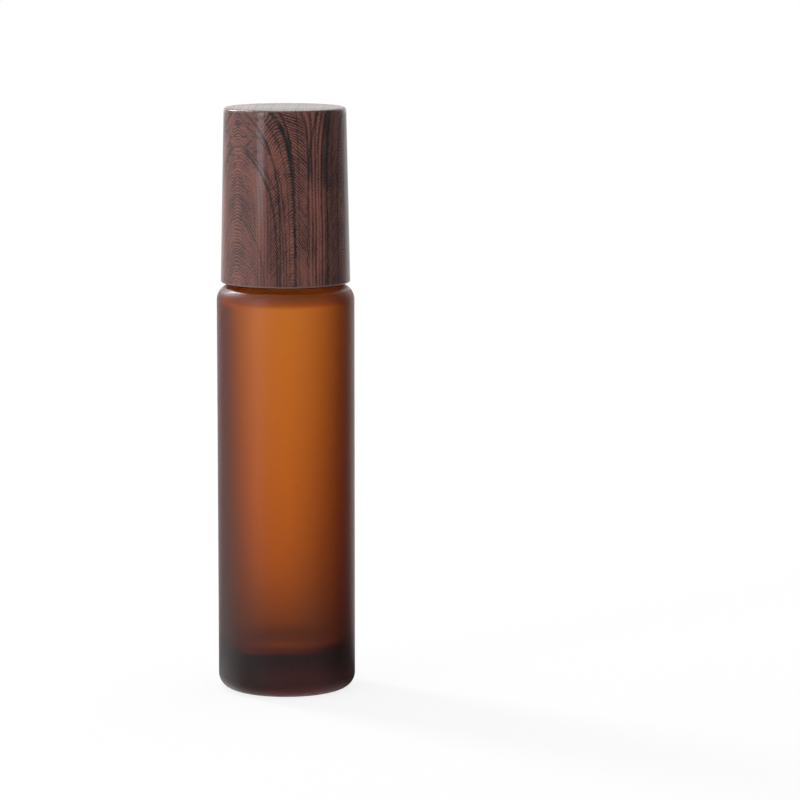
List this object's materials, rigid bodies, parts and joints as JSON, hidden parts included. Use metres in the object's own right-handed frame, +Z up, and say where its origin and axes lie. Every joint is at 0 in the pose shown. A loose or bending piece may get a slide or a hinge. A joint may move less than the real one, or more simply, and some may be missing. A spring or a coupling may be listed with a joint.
{
  "type": "roll-on bottle",
  "caption": "Slim frosted amber glass roll-on bottle with a steel roller ball in a press-in housing and a tapered wood-grain screw cap.",
  "frame": {"origin": "centre of the bottle's base, on the surface that it stands on", "axes": "+Z up along the bottle's axis towards the cap, with -Y towards the viewer of the picture"},
  "size_m": [0.0202, 0.0202, 0.086],
  "materials": {
    "amber_glass": "frosted outside, smooth inside",
    "housing_plastic": "natural translucent satin",
    "ball_steel": "polished stainless steel",
    "cap_wood_print": "dark wood-grain print under satin lacquer",
    "insert_plastic": "white satin",
    "seal_foam": "white closed-cell foam"
  },
  "bodies": {
    "bottle": {"glass_bottle": "amber_glass", "ball_housing": "housing_plastic"},
    "ball": {"roller_ball": "ball_steel"},
    "seal": {"cap_seal": "seal_foam"},
    "cap": {"cap_shell": "cap_wood_print", "cap_insert": "insert_plastic"}
  },
  "joints": [
    {"name": "ball_roll", "type": "hinge", "parent": "bottle", "child": "ball", "pos_m": [0, 0, 0.0761], "axis": [1, 0, 0], "continuous": true},
    {"name": "cap_lift", "type": "slide", "parent": "bottle", "child": "seal", "axis": [0, 0, 1], "range_m": [0, 0.027]},
    {"name": "cap_turn", "type": "hinge", "parent": "seal", "child": "cap", "pos_m": [0, 0, 0.0827], "axis": [0, 0, 1], "range_deg": [0, 3240]}
  ],
  "couplings": [
    {"joint": "cap_lift", "follows": "cap_turn", "m_per_rad": 0.00047746}
  ]
}
